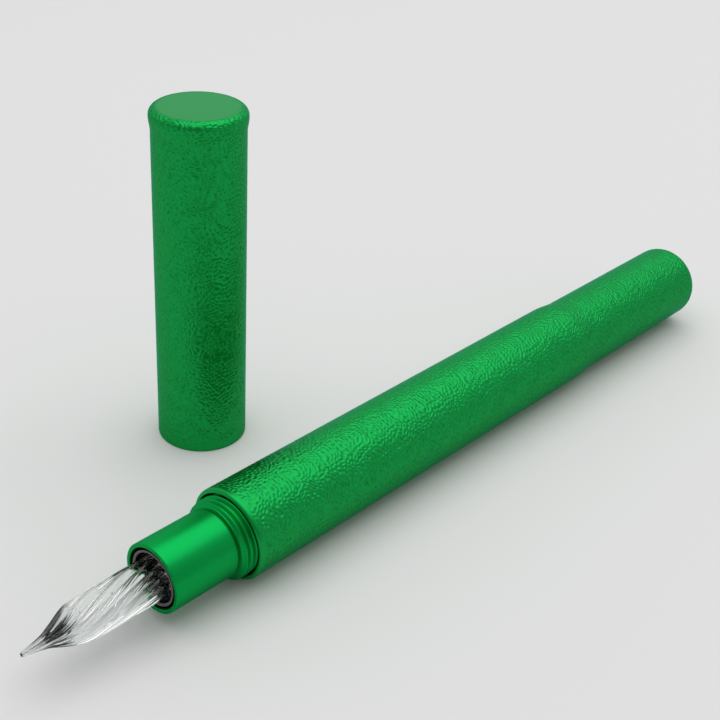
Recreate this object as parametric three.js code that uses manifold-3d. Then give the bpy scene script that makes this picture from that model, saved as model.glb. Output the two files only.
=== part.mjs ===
// Fountain pen with a spiral-fluted glass nib, taken apart the way it lies on a desk:
// the pen lies flat with its nib towards -X, and its cap stands on its mouth beside it.
// Millimetres, +Z up. Every turned piece is drawn as a profile of [radius, place along
// the axis], where 0 is the barrel's front edge and larger values lie further back.

import * as THREE from "three";
import { mergeVertices } from "three/addons/utils/BufferGeometryUtils.js";
import Module from "manifold-3d";

const wasm = await Module();
wasm.setup();

// Gap between two pieces that sit one in the other
const SEAT = 0.15;
const END_GAP = 0.3;

// Barrel and the bushing in its mouth
const BARREL_RADIUS = 6.25;
const BARREL_LENGTH = 104;
const BARREL_FRONT_EDGE = 0.5;
const BARREL_REAR_EDGE = 1.8;
const REAR_RADIUS = 5.94;
const WAIST = { start: 69.5, end: 74 };
const BARREL_BORE = 4.4;
const BARREL_MOUTH_BORE = 5.6;
const BARREL_END_WALL = 4;
const BUSHING = { start: 3.4, end: 12.4, bore: 4.75, mouthBore: 4.85, mouthChamfer: 0.4 };

// Cap, its threaded ring and its inner cap
const CAP_RADIUS = 6.34;
const CAP_LIP_RADIUS = 6.56;
const CAP_HEIGHT = 49.6;
const CAP_FLARE_HEIGHT = 3.2;
const CAP_LIP_HEIGHT = 1.2;
const CAP_TOP_EDGE = 0.8;
const CAP_MOUTH_EDGE = 0.2;
const CAP_BORE = 5.75;
const CAP_TOP_WALL = 2.2;
const CAP_RING = { start: 0.9, end: 8, bore: 5.3 };
const INNER_CAP = { start: 8.4, mouthBore: 4.95, bore: 4.2, topWall: 1.6 };
const CAP_BEHIND_FRONT = 20.1;
const CAP_TO_PEN_AXIS = 27.15;

// Grip section, its plastic core and the ring that seals it
const MOUTH = -12;
const GRIP_RADIUS = 4.64;
const GRIP_BORE = 4.08;
const GRIP_EDGE = 0.12;
const GRIP_GROOVE = { start: -2.4, end: -2, depth: 0.16, slope: 0.1 };
const CAP_THREAD = { start: -2, end: 0.7, pitch: 0.85, root: 4.74, depth: 0.42 };
const BARREL_THREAD = { start: 3.7, end: 9.7, pitch: 1, root: 4.15, depth: 0.35 };
const FLANGE = { radius: 5.35, start: 1.2, end: 2.1, slope: 0.1 };
const SECTION_END = 10.4;
const SECTION_BORE = 3.5;
const SECTION_STEP = -1;
const CORE = { start: -8, end: 11.2, radius: 3.35, bore: 2.85, boreStart: -1.6, boreEnd: 9 };
const NIPPLE = { radius: 1.35, tipRadius: 1.15, taper: 0.4, end: 17, bore: 0.7 };
const SEAL = { centre: 2.75, size: 0.45, rootClearance: 0.1 };

// Glass nib
const NIB_TIP = -30.42;
const NIB_TIP_RADIUS = 0.16;
const NIB_NECK = { fromTip: 3.2, radius: 0.76, power: 1.6 };
const NIB_SHOULDER = { fromTip: 9, radius: 2.76, power: 1.15 };
const NIB_BODY_END = -11.2;
const NIB_SHANK = { radius: 1.8, start: -10.2, end: -3, chamfer: 0.4 };
const FLUTES = 12;
const FLUTE_DEPTH = 0.1;
const FLUTE_LEAD = 89;
const FLUTE_FADE = { start: 1, length: 4 };

// Holder, feed and tube behind the nib
const HOLDER = { lipRadius: 3.7, lipEnd: -9, radius: 3.2, end: -2, bore: 2.45 };
const HOLDER_CUP = { radius: 3.3, end: -9.6 };
const GROMMET = { start: -9.3, end: -2.9, bore: 1.92, radius: 2.33 };
const FEED = { start: -2.4, end: 5.2, bore: 0.62, frontRadius: 2.3 };
const FIN = { count: 3, start: -1.5, pitch: 1.4, thickness: 0.8, radius: 2.6, root: 2 };
const FEED_TAIL = { radius: 0.95, end: 7.4 };
const INK_CHANNEL = { width: 0.5, height: 1.2, length: 9, centre: 1, aboveAxis: 2.5 };
const INK_TUBE = { start: -2.7, end: 8.6, bore: 0.28, radius: 0.5 };

// Converter
const SOCKET = { start: 11.6, end: 17.7, radius: 3.5, chamfer: 0.3, mouth: 3.3, bore: 1.5 };
const SPIGOT = { end: 21.4, radius: 2.9, boreStart: 17.5, bore: 0.8 };
const TUBE = { start: 18, end: 52, radius: 3.6, bore: 3.05 };
const COLLAR = { start: 46.5, end: 57.3, radius: 3.95, bore: 3.7 };
const GUIDE = { start: 48, end: 54.2, radius: 2.9, headRadius: 3.45, bore: 1.45 };
const KNOB = { start: 54.6, end: 81.5, radius: 3.55, bore: 1.45, endWall: 0.9 };
const KNOB_NECK = { end: 57.6, radius: 3.2, shoulderRadius: 3.4, shoulder: 0.4 };
const KNOB_CROWN = { length: 0.6, radius: 3 };
const KNOB_FLUTES = { count: 12, depth: 0.12, above: 3.5 };
const PISTON = { start: 22.3, end: 25.3, radius: 2.92, waist: 2.6, front: 2.5, chamfer: 0.3 };
const PISTON_LIP = { length: 1.1, gap: 1.2 };
const PIN_HOLE = { start: 23.4, radius: 0.9 };
const ROD = { radius: 1.15, end: 60, chamfer: 0.3 };
const ROD_PIN = { start: 23.6, radius: 0.75 };
const ROD_DISC = { start: 25.6, end: 26.4, radius: 1.9 };

// Segments round the axis: coarse for small hidden pieces, fine for the shells
const FINE = 40;
const MEDIUM = 28;
const COARSE = 16;
const TUBE_SEGMENTS = 12;
const KNOB_SEGMENTS = 36;
const NIB_SEGMENTS = 4 * FLUTES;
const MERGE_DISTANCE = 1e-4;

const COLOURS = {
  green: 0x0d8a3e,
  satinGreen: 0x00a352,
  black: 0x17181a,
  smoke: 0x4a4442,
  glass: 0xe8eeee,
  clear: 0xdfe6ea,
  steel: 0xb9bcc0,
  rubber: 0x1b1b1b,
  silicone: 0xc9c6c0,
  brass: 0xb99a55,
};

const finish = (color, roughness, metalness) =>
  new THREE.MeshStandardMaterial({ color, roughness, metalness });

const anodised = finish(COLOURS.green, 0.42, 0.85);
const satinAnodised = finish(COLOURS.satinGreen, 0.3, 0.9);
const blackPlastic = finish(COLOURS.black, 0.45, 0);
const smokePlastic = finish(COLOURS.smoke, 0.4, 0);
const glass = finish(COLOURS.glass, 0.03, 0);
const clearPlastic = finish(COLOURS.clear, 0.1, 0);
const steel = finish(COLOURS.steel, 0.25, 1);
const rubber = finish(COLOURS.rubber, 0.8, 0);
const silicone = finish(COLOURS.silicone, 0.6, 0);
const brass = finish(COLOURS.brass, 0.35, 1);

/** Points of a quarter round or other arc, from one angle to another in degrees. */
function arc(centreRadius, centreAxial, size, from, to, steps = 3) {
  return Array.from({ length: steps + 1 }, (_, step) => {
    const angle = THREE.MathUtils.degToRad(from + ((to - from) * step) / steps);
    return [centreRadius + size * Math.cos(angle), centreAxial + size * Math.sin(angle)];
  });
}

/** A smooth S between two radii, as the waist of the barrel has. */
function easedStep(startAxial, startRadius, endAxial, endRadius, steps = 6) {
  return Array.from({ length: steps + 1 }, (_, step) => {
    const share = step / steps;
    const ease = (1 - Math.cos(Math.PI * share)) / 2;
    const radius = startRadius + (endRadius - startRadius) * ease;
    return [radius, startAxial + (endAxial - startAxial) * share];
  });
}

/** Points along a thread's root, close enough together to carry its ridge. */
function threadPoints({ start, end, pitch, root }, pointsPerTurn) {
  const count = Math.round(((end - start) / pitch) * pointsPerTurn);
  return Array.from({ length: count + 1 }, (_, step) => [
    root,
    start + ((end - start) * step) / count,
  ]);
}

/** Height of a right-hand thread's ridge at one angle and place along the axis. */
function threadRidge({ start, end, pitch, depth }, angle, axial) {
  const turn = axial / pitch - angle / (2 * Math.PI);
  const runOut = Math.min(axial - start, end - axial) / (pitch / 2);
  const fade = THREE.MathUtils.clamp(runOut, 0, 1);
  return depth * fade * (0.5 + 0.5 * Math.cos(2 * Math.PI * turn));
}

/**
 * Turns a profile about the axis. The outer side of the profile runs towards the rear, and
 * a ring's profile ends on the point where it started. reshape may change each point's radius.
 */
function turned(profile, segments, reshape) {
  const points = profile.map(([radius, axial]) => new THREE.Vector2(radius, axial));
  const geometry = new THREE.LatheGeometry(points, segments);
  geometry.deleteAttribute("normal");
  geometry.deleteAttribute("uv");
  if (reshape) {
    const place = geometry.attributes.position;
    for (let index = 0; index < place.count; index += 1) {
      const radius = Math.hypot(place.getX(index), place.getZ(index));
      const angle = Math.atan2(place.getX(index), place.getZ(index));
      const factor = radius > 0 ? reshape(radius, place.getY(index), angle) / radius : 1;
      place.setX(index, place.getX(index) * factor);
      place.setZ(index, place.getZ(index) * factor);
    }
  }
  return mergeVertices(geometry, MERGE_DISTANCE);
}

/** Closes a ring's profile by repeating its first point. */
const ring = (profile) => [...profile, profile[0]];

/** A plain sleeve between two places on the axis. */
const sleeve = (innerRadius, outerRadius, start, end) =>
  ring([[innerRadius, start], [outerRadius, start], [outerRadius, end], [innerRadius, end]]);

function toManifold(geometry) {
  const merged = mergeVertices(geometry, MERGE_DISTANCE);
  const triangles = [];
  const index = merged.index.array;
  for (let first = 0; first < index.length; first += 3) {
    const [a, b, c] = [index[first], index[first + 1], index[first + 2]];
    if (a !== b && b !== c && c !== a) triangles.push(a, b, c);
  }
  const mesh = new wasm.Mesh({
    numProp: 3,
    vertProperties: new Float32Array(merged.attributes.position.array),
    triVerts: new Uint32Array(triangles),
  });
  return new wasm.Manifold(mesh);
}

function fromManifold(solid) {
  const mesh = solid.getMesh();
  const geometry = new THREE.BufferGeometry();
  geometry.setAttribute("position", new THREE.BufferAttribute(mesh.vertProperties, 3));
  geometry.setIndex(new THREE.BufferAttribute(mesh.triVerts, 1));
  return geometry;
}

/** Cuts one geometry out of another. */
const cut = (body, tool) => fromManifold(toManifold(body).subtract(toManifold(tool)));

function piece(name, geometry, material) {
  geometry.computeVertexNormals();
  const mesh = new THREE.Mesh(geometry, material);
  mesh.name = name;
  return mesh;
}

/** Aluminium tube, closed at the rear, with a shallow waist and a threaded brass bushing. */
function barrel() {
  const boreEnd = BARREL_LENGTH - BARREL_END_WALL;
  const shoulder = BUSHING.end + END_GAP;
  const shell = ring([
    [BARREL_MOUTH_BORE, 0],
    ...arc(BARREL_RADIUS - BARREL_FRONT_EDGE, BARREL_FRONT_EDGE, BARREL_FRONT_EDGE, -90, 0),
    ...easedStep(WAIST.start, BARREL_RADIUS, WAIST.end, REAR_RADIUS),
    ...arc(REAR_RADIUS - BARREL_REAR_EDGE, BARREL_LENGTH - BARREL_REAR_EDGE, BARREL_REAR_EDGE, 0, 90, 5),
    [0, BARREL_LENGTH],
    [0, boreEnd],
    [BARREL_BORE, boreEnd],
    [BARREL_BORE, shoulder],
    [BARREL_MOUTH_BORE, shoulder],
  ]);
  const bushing = ring([
    [BUSHING.mouthBore, BUSHING.start],
    [BARREL_MOUTH_BORE - SEAT, BUSHING.start],
    [BARREL_MOUTH_BORE - SEAT, BUSHING.end],
    [BUSHING.bore, BUSHING.end],
    [BUSHING.bore, BUSHING.start + BUSHING.mouthChamfer],
  ]);
  return [
    piece("barrel_shell", turned(shell, FINE), anodised),
    piece("barrel_bushing", turned(bushing, MEDIUM), brass),
  ];
}

/** Aluminium cap with a slightly flared top, its threaded ring and its sealing inner cap. */
function cap() {
  const flareStart = CAP_HEIGHT - CAP_FLARE_HEIGHT;
  const flareEnd = CAP_HEIGHT - CAP_LIP_HEIGHT;
  const boreTop = CAP_HEIGHT - CAP_TOP_WALL;
  const shell = ring([
    [CAP_BORE, 0],
    ...arc(CAP_RADIUS - CAP_MOUTH_EDGE, CAP_MOUTH_EDGE, CAP_MOUTH_EDGE, -90, 0, 2),
    ...easedStep(flareStart, CAP_RADIUS, flareEnd, CAP_LIP_RADIUS, 3),
    ...arc(CAP_LIP_RADIUS - CAP_TOP_EDGE, CAP_HEIGHT - CAP_TOP_EDGE, CAP_TOP_EDGE, 0, 90, 4),
    [0, CAP_HEIGHT],
    [0, boreTop],
    [CAP_BORE, boreTop],
  ]);
  const threadRing = sleeve(CAP_RING.bore, CAP_BORE - SEAT, CAP_RING.start, CAP_RING.end);
  const gripSeat = -MOUTH + END_GAP;
  const innerTop = boreTop - END_GAP;
  const innerCap = ring([
    [INNER_CAP.mouthBore, INNER_CAP.start],
    [CAP_BORE - SEAT, INNER_CAP.start],
    [CAP_BORE - SEAT, innerTop],
    [0, innerTop],
    [0, innerTop - INNER_CAP.topWall],
    [INNER_CAP.bore, innerTop - INNER_CAP.topWall],
    [INNER_CAP.bore, gripSeat],
    [INNER_CAP.mouthBore, gripSeat],
  ]);
  return [
    piece("cap_shell", turned(shell, FINE), anodised),
    piece("cap_thread_ring", turned(threadRing, MEDIUM), blackPlastic),
    piece("cap_inner_cap", turned(innerCap, MEDIUM), blackPlastic),
  ];
}

/** Smooth metal grip with both threads, the plastic core inside it and the sealing ring. */
function section() {
  const grooveRadius = GRIP_RADIUS - GRIP_GROOVE.depth;
  const flangeFront = FLANGE.start - FLANGE.slope;
  const grip = ring([
    [GRIP_BORE, MOUTH],
    ...arc(GRIP_RADIUS - GRIP_EDGE, MOUTH + GRIP_EDGE, GRIP_EDGE, -90, 0, 2),
    [GRIP_RADIUS, GRIP_GROOVE.start],
    [grooveRadius, GRIP_GROOVE.start + GRIP_GROOVE.slope],
    [grooveRadius, GRIP_GROOVE.end - GRIP_GROOVE.slope],
    ...threadPoints(CAP_THREAD, 5),
    [CAP_THREAD.root, flangeFront],
    [FLANGE.radius, FLANGE.start],
    [FLANGE.radius, FLANGE.end],
    [BARREL_THREAD.root, FLANGE.end],
    ...threadPoints(BARREL_THREAD, 3),
    [BARREL_THREAD.root - SEAT, SECTION_END],
    [SECTION_BORE, SECTION_END],
    [SECTION_BORE, SECTION_STEP],
    [GRIP_BORE, SECTION_STEP],
  ]);
  const onRoot = 0.01;
  const ridges = (radius, axial, angle) => {
    for (const thread of [CAP_THREAD, BARREL_THREAD]) {
      const onThread = axial >= thread.start && axial <= thread.end;
      if (onThread && Math.abs(radius - thread.root) < onRoot) {
        return radius + threadRidge(thread, angle, axial);
      }
    }
    return radius;
  };
  const coreStep = SECTION_STEP - END_GAP;
  const core = ring([
    [CORE.radius, CORE.start],
    [GRIP_BORE - SEAT, CORE.start],
    [GRIP_BORE - SEAT, coreStep],
    [CORE.radius, coreStep],
    [CORE.radius, CORE.end],
    [NIPPLE.radius, CORE.end],
    [NIPPLE.radius, NIPPLE.end - NIPPLE.taper],
    [NIPPLE.tipRadius, NIPPLE.end],
    [NIPPLE.bore, NIPPLE.end],
    [NIPPLE.bore, CORE.boreEnd],
    [CORE.bore, CORE.boreEnd],
    [CORE.bore, CORE.boreStart],
    [CORE.radius, CORE.boreStart],
  ]);
  const sealRadius = (BARREL_THREAD.root + SEAL.rootClearance + FLANGE.radius) / 2;
  const seal = arc(sealRadius, SEAL.centre, SEAL.size, -90, 270, 8).slice(0, -1);
  return [
    piece("section_grip", turned(grip, MEDIUM, ridges), satinAnodised),
    piece("section_core", turned(core, COARSE), blackPlastic),
    piece("section_o_ring", turned(ring(seal), MEDIUM), rubber),
  ];
}

/** Radius of the glass body from its ball tip, through its slim neck, to its full shoulder. */
function nibRadius(fromTip) {
  if (fromTip <= NIB_NECK.fromTip) {
    const share = fromTip / NIB_NECK.fromTip;
    return NIB_TIP_RADIUS + (NIB_NECK.radius - NIB_TIP_RADIUS) * share ** NIB_NECK.power;
  }
  if (fromTip <= NIB_SHOULDER.fromTip) {
    const share = (fromTip - NIB_NECK.fromTip) / (NIB_SHOULDER.fromTip - NIB_NECK.fromTip);
    const ease = Math.sin((Math.PI / 2) * share) ** NIB_SHOULDER.power;
    return NIB_NECK.radius + (NIB_SHOULDER.radius - NIB_NECK.radius) * ease;
  }
  return NIB_SHOULDER.radius;
}

/** The glass nib with its twisted flutes, and the holder, feed and tube behind it. */
function nibUnit() {
  const steps = 15;
  const crowding = 1.1;
  const length = NIB_BODY_END - NIB_TIP;
  const glassBody = Array.from({ length: steps + 1 }, (_, step) => {
    const share = (step / steps) ** crowding;
    const fromTip = NIB_TIP_RADIUS + (length - NIB_TIP_RADIUS) * share;
    return [nibRadius(fromTip), NIB_TIP + fromTip];
  });
  const outline = [
    [0, NIB_TIP],
    ...glassBody,
    [NIB_SHANK.radius, NIB_SHANK.start],
    [NIB_SHANK.radius, NIB_SHANK.end - NIB_SHANK.chamfer],
    [NIB_SHANK.radius - NIB_SHANK.chamfer, NIB_SHANK.end],
    [0, NIB_SHANK.end],
  ];
  const bodyEnd = NIB_BODY_END + MERGE_DISTANCE;
  const flutes = (radius, axial, angle) => {
    if (axial > bodyEnd) return radius;
    const pastTip = axial - NIB_TIP - FLUTE_FADE.start;
    const grow = THREE.MathUtils.clamp(pastTip / FLUTE_FADE.length, 0, 1);
    const twist = angle + (2 * Math.PI * axial) / FLUTE_LEAD;
    return radius * (1 - FLUTE_DEPTH * grow * (0.5 + 0.5 * Math.cos(FLUTES * twist)));
  };
  const holder = ring([
    [HOLDER_CUP.radius, MOUTH + SEAT],
    [HOLDER.lipRadius, MOUTH + SEAT],
    [HOLDER.lipRadius, HOLDER.lipEnd],
    [HOLDER.radius, HOLDER.lipEnd],
    [HOLDER.radius, HOLDER.end],
    [HOLDER.bore, HOLDER.end],
    [HOLDER.bore, HOLDER_CUP.end],
    [HOLDER_CUP.radius, HOLDER_CUP.end],
  ]);
  const fins = [];
  for (let fin = 0; fin < FIN.count; fin += 1) {
    const front = FIN.start + fin * FIN.pitch;
    const back = front + FIN.thickness;
    fins.push([FIN.radius, front], [FIN.radius, back], [FIN.root, back], [FIN.root, front + FIN.pitch]);
  }
  const feed = ring([
    [FEED.bore, FEED.start],
    [FEED.frontRadius, FEED.start],
    [FEED.frontRadius, FIN.start],
    ...fins,
    [FIN.radius, FIN.start + FIN.count * FIN.pitch],
    [FIN.radius, FEED.end],
    [FEED_TAIL.radius, FEED.end],
    [FEED_TAIL.radius, FEED_TAIL.end],
    [FEED.bore, FEED_TAIL.end],
  ]);
  const channel = new THREE.BoxGeometry(INK_CHANNEL.width, INK_CHANNEL.length, INK_CHANNEL.height);
  channel.translate(0, INK_CHANNEL.centre, INK_CHANNEL.aboveAxis);
  channel.deleteAttribute("normal");
  channel.deleteAttribute("uv");
  const grommet = sleeve(GROMMET.bore, GROMMET.radius, GROMMET.start, GROMMET.end);
  const inkTube = sleeve(INK_TUBE.bore, INK_TUBE.radius, INK_TUBE.start, INK_TUBE.end);
  return [
    piece("glass_nib", turned(outline, NIB_SEGMENTS, flutes), glass),
    piece("nib_grommet", turned(grommet, COARSE), silicone),
    piece("nib_housing", turned(holder, MEDIUM), smokePlastic),
    piece("ink_feed", cut(turned(feed, COARSE), channel), blackPlastic),
    piece("capillary_tube", turned(inkTube, TUBE_SEGMENTS), steel),
  ];
}

/** Screw converter: socket, clear tube, metal collar, guide, knob, and the piston on its rod. */
function converter() {
  const socket = ring([
    [SOCKET.bore, SOCKET.start],
    [SOCKET.mouth, SOCKET.start],
    [SOCKET.radius, SOCKET.start + SOCKET.chamfer],
    [SOCKET.radius, SOCKET.end],
    [SPIGOT.radius, SOCKET.end],
    [SPIGOT.radius, SPIGOT.end],
    [SPIGOT.bore, SPIGOT.end],
    [SPIGOT.bore, SPIGOT.boreStart],
    [SOCKET.bore, SPIGOT.boreStart],
  ]);
  const guide = ring([
    [GUIDE.bore, GUIDE.start],
    [GUIDE.radius, GUIDE.start],
    [GUIDE.radius, TUBE.end + END_GAP],
    [GUIDE.headRadius, TUBE.end + END_GAP],
    [GUIDE.headRadius, GUIDE.end],
    [GUIDE.bore, GUIDE.end],
  ]);
  const knob = ring([
    [KNOB.bore, KNOB.start],
    [KNOB_NECK.radius, KNOB.start],
    [KNOB_NECK.radius, KNOB_NECK.end],
    [KNOB_NECK.shoulderRadius, KNOB_NECK.end],
    [KNOB.radius, KNOB_NECK.end + KNOB_NECK.shoulder],
    [KNOB.radius, KNOB.end - KNOB_CROWN.length],
    [KNOB_CROWN.radius, KNOB.end],
    [0, KNOB.end],
    [0, KNOB.end - KNOB.endWall],
    [KNOB.bore, KNOB.end - KNOB.endWall],
  ]);
  const gripFlutes = (radius, axial, angle) => {
    if (radius <= KNOB_FLUTES.above) return radius;
    return radius - KNOB_FLUTES.depth * (0.5 + 0.5 * Math.cos(KNOB_FLUTES.count * angle));
  };
  const lipEnd = PISTON.start + PISTON_LIP.length;
  const rearLip = lipEnd + PISTON_LIP.gap - PISTON.chamfer;
  const piston = [
    [0, PISTON.start],
    [PISTON.front, PISTON.start],
    [PISTON.radius, PISTON.start + PISTON.chamfer],
    [PISTON.radius, lipEnd - PISTON.chamfer],
    [PISTON.waist, lipEnd],
    [PISTON.waist, rearLip],
    [PISTON.radius, rearLip + PISTON.chamfer],
    [PISTON.radius, PISTON.end - SEAT],
    [PISTON.waist, PISTON.end],
    [PIN_HOLE.radius, PISTON.end],
    [PIN_HOLE.radius, PIN_HOLE.start],
    [0, PIN_HOLE.start],
  ];
  const rod = [
    [0, ROD_PIN.start],
    [ROD_PIN.radius, ROD_PIN.start],
    [ROD_PIN.radius, ROD_DISC.start],
    [ROD_DISC.radius, ROD_DISC.start],
    [ROD_DISC.radius, ROD_DISC.end],
    [ROD.radius, ROD_DISC.end],
    [ROD.radius, ROD.end - ROD.chamfer],
    [ROD.radius - ROD.chamfer, ROD.end],
    [0, ROD.end],
  ];
  const tube = sleeve(TUBE.bore, TUBE.radius, TUBE.start, TUBE.end);
  const collar = sleeve(COLLAR.bore, COLLAR.radius, COLLAR.start, COLLAR.end);
  return [
    piece("converter_mouth", turned(socket, COARSE), blackPlastic),
    piece("converter_tube", turned(tube, COARSE), clearPlastic),
    piece("converter_collar", turned(collar, MEDIUM), steel),
    piece("converter_guide", turned(guide, COARSE), blackPlastic),
    piece("converter_knob", turned(knob, KNOB_SEGMENTS, gripFlutes), blackPlastic),
    piece("converter_piston_seal", turned(piston, COARSE), rubber),
    piece("converter_piston_rod", turned(rod, COARSE), blackPlastic),
  ];
}

// The lathe's axis is +Y: the pen is laid down along +X, and the cap is stood up along +Z.
const pen = new THREE.Group();
pen.add(...barrel(), ...section(), ...nibUnit(), ...converter());
pen.rotation.z = -Math.PI / 2;
pen.position.z = BARREL_RADIUS;

const standingCap = new THREE.Group();
standingCap.add(...cap());
standingCap.rotation.x = Math.PI / 2;
standingCap.position.set(CAP_BEHIND_FRONT, CAP_TO_PEN_AXIS, 0);

// The origin is on the desk, under the middle of the pen and cap together.
const model = new THREE.Group();
model.add(pen, standingCap);
model.position.set(
  -(NIB_TIP + BARREL_LENGTH) / 2,
  -(CAP_TO_PEN_AXIS + CAP_LIP_RADIUS - BARREL_RADIUS) / 2,
  0,
);

export default model;
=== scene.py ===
"""Glass nib fountain pen: its visible pieces, their finishes, a pale studio and the camera.

Sizes in the classes are millimetres. Places along the pen are counted from the barrel's
front edge towards its rear end, and places along the cap from the desk upwards. A profile
is a row of (radius, place along the axis) pairs, and turning it gives the solid.
"""

from __future__ import annotations

import logging
import math
from collections.abc import Sequence
from dataclasses import dataclass
from enum import Enum

import bpy
from bpy.types import Material, Node, NodeSocket, NodeTree, Object, Texture
from mathutils import Matrix, Vector


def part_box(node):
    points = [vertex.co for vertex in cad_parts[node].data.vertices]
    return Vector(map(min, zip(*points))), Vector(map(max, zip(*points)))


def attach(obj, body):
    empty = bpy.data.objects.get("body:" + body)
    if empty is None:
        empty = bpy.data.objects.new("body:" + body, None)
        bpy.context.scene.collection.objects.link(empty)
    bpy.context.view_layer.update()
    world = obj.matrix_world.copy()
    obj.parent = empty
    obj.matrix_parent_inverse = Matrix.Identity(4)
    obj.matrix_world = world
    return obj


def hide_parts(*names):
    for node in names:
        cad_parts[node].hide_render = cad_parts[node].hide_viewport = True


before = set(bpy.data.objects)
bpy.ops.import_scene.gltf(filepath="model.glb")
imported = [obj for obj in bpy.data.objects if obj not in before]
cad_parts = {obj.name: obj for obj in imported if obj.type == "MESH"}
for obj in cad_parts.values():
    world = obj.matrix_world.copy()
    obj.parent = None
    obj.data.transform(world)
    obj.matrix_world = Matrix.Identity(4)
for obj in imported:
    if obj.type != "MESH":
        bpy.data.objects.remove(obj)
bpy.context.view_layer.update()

log = logging.getLogger("pen")

MM = 0.001
# points nearer to each other than this become one, in millimetres
MERGE_MM = 0.002
# how near to a surface a point counts as on it, in millimetres
TOUCH_MM = 0.01
# the bevel that every sharp edge gets unless a piece says otherwise, in millimetres
EDGE_MM = 0.05
CORNER_DEGREES = 30
GOLDEN_TURN = math.pi * (3 - math.sqrt(5))
# which result of a Mix node is its colour
MIXED_COLOUR = 2
# the dyed metal mirrors more blue at a grazing angle
EDGE_TINT = "3fcebf"
OXIDE_IOR = 1.6

Colour = tuple[float, float, float, float]
Point = tuple[float, float]
Profile = Sequence[Point]
Range = tuple[float, float]
Tones = tuple[str, str]
Settings = dict[str | int, object]


class Body(Enum):
    """The moving bodies that pieces ride on."""

    BARREL = "barrel"
    CAP = "cap"
    SECTION_SEAL = "section_seal"
    SECTION = "section"
    NIB_SEAL = "nib_seal"
    NIB_UNIT = "nib_unit"
    NIB = "nib"
    CONVERTER = "converter"
    KNOB = "knob"
    PISTON = "piston"


class Slot(Enum):
    """The record's material slots."""

    CRINKLED_GREEN = "textured_green"
    SATIN_GREEN = "satin_green"
    GLASS = "nib_glass"
    BLACK_PLASTIC = "black_plastic"
    SMOKE_PLASTIC = "smoke_plastic"
    CLEAR_PLASTIC = "clear_plastic"
    RUBBER = "rubber"
    SILICONE = "silicone"
    STEEL = "steel"
    BRASS = "brass"


class Smoothness(Enum):
    """How many flat steps a turned piece has round its axis."""

    SHELL = 150
    VISIBLE = 128
    HIDDEN = 72
    SLENDER = 32


@dataclass(frozen=True)
class Axis:
    """A line that pieces are turned about, with the place on it that counts as 0."""

    origin: Vector
    along: Vector
    out: Vector

    def point(self, radius: float, place: float) -> Vector:
        """A point in metres, at a radius and place in millimetres, on the side of out."""
        return self.origin + self.along * (place * MM) + self.out * (radius * MM)

    def radius_of(self, point: Vector) -> float:
        """Distance in millimetres of a point from the axis."""
        offset = point - self.origin
        return (offset - self.along * offset.dot(self.along)).length / MM

    def place_of(self, point: Vector) -> float:
        """Place in millimetres of a point along the axis."""
        return (point - self.origin).dot(self.along) / MM

    def angle_of(self, point: Vector) -> float:
        """Measures the angle of a point about the axis.

        Args:
            point: the point, in metres.

        Returns:
            The angle from out in radians, right-handed about along.
        """
        offset = point - self.origin
        side = self.along.cross(self.out)
        return math.atan2(offset.dot(side), offset.dot(self.out))


def pen_axis() -> Axis:
    """Finds the axis of the lying pen in the barrel's own box.

    Returns:
        The axis, from the barrel's front edge towards its rear.
    """
    low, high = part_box("barrel_shell")
    origin = Vector((low.x, (low.y + high.y) / 2, (low.z + high.z) / 2))
    return Axis(origin, Vector((1, 0, 0)), Vector((0, 0, 1)))


def cap_axis() -> Axis:
    """Finds the axis of the standing cap in its own box.

    Returns:
        The axis, from the desk upwards.
    """
    low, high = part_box("cap_shell")
    origin = Vector(((low.x + high.x) / 2, (low.y + high.y) / 2, low.z))
    return Axis(origin, Vector((0, 0, 1)), Vector((1, 0, 0)))


def hex_colour(text: str) -> Colour:
    """Turns an sRGB hex colour to the linear colour that shaders use.

    Args:
        text: six hex digits, such as "0d8a3e".

    Returns:
        Linear red, green, blue and an alpha of 1.
    """
    channels = [int(text[place : place + 2], 16) / 255 for place in (0, 2, 4)]
    # the numbers are those of the sRGB standard's own curve
    linear = [c / 12.92 if c <= 0.04045 else ((c + 0.055) / 1.055) ** 2.4 for c in channels]
    return (*linear, 1.0)


def add_node(tree: NodeTree, kind: str, inputs: Settings | None = None, **settings: object) -> Node:
    """Adds a node, sets its options, and sets or links its inputs.

    Args:
        tree: the node tree that it goes in.
        kind: the node's type name without the leading ShaderNode.
        inputs: input name or number to a value, or to a socket to link from.
        settings: the node's own options.

    Returns:
        The new node.
    """
    node = tree.nodes.new("ShaderNode" + kind)
    for name, value in settings.items():
        setattr(node, name, value)
    for name, value in (inputs or {}).items():
        if isinstance(value, NodeSocket):
            tree.links.new(value, node.inputs[name])
        else:
            node.inputs[name].default_value = value
    return node


def object_millimetres(tree: NodeTree, stretch: tuple[float, float, float] = (1, 1, 1)) -> NodeSocket:
    """Gives Object coordinates in millimetres, so that texture scales are per millimetre.

    Args:
        tree: the material's node tree.
        stretch: extra scale of each axis.

    Returns:
        The vector socket.
    """
    place = add_node(tree, "TexCoord").outputs["Object"]
    scale = tuple(s / MM for s in stretch)
    return add_node(tree, "Mapping", {"Vector": place, "Scale": scale}).outputs["Vector"]


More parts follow.
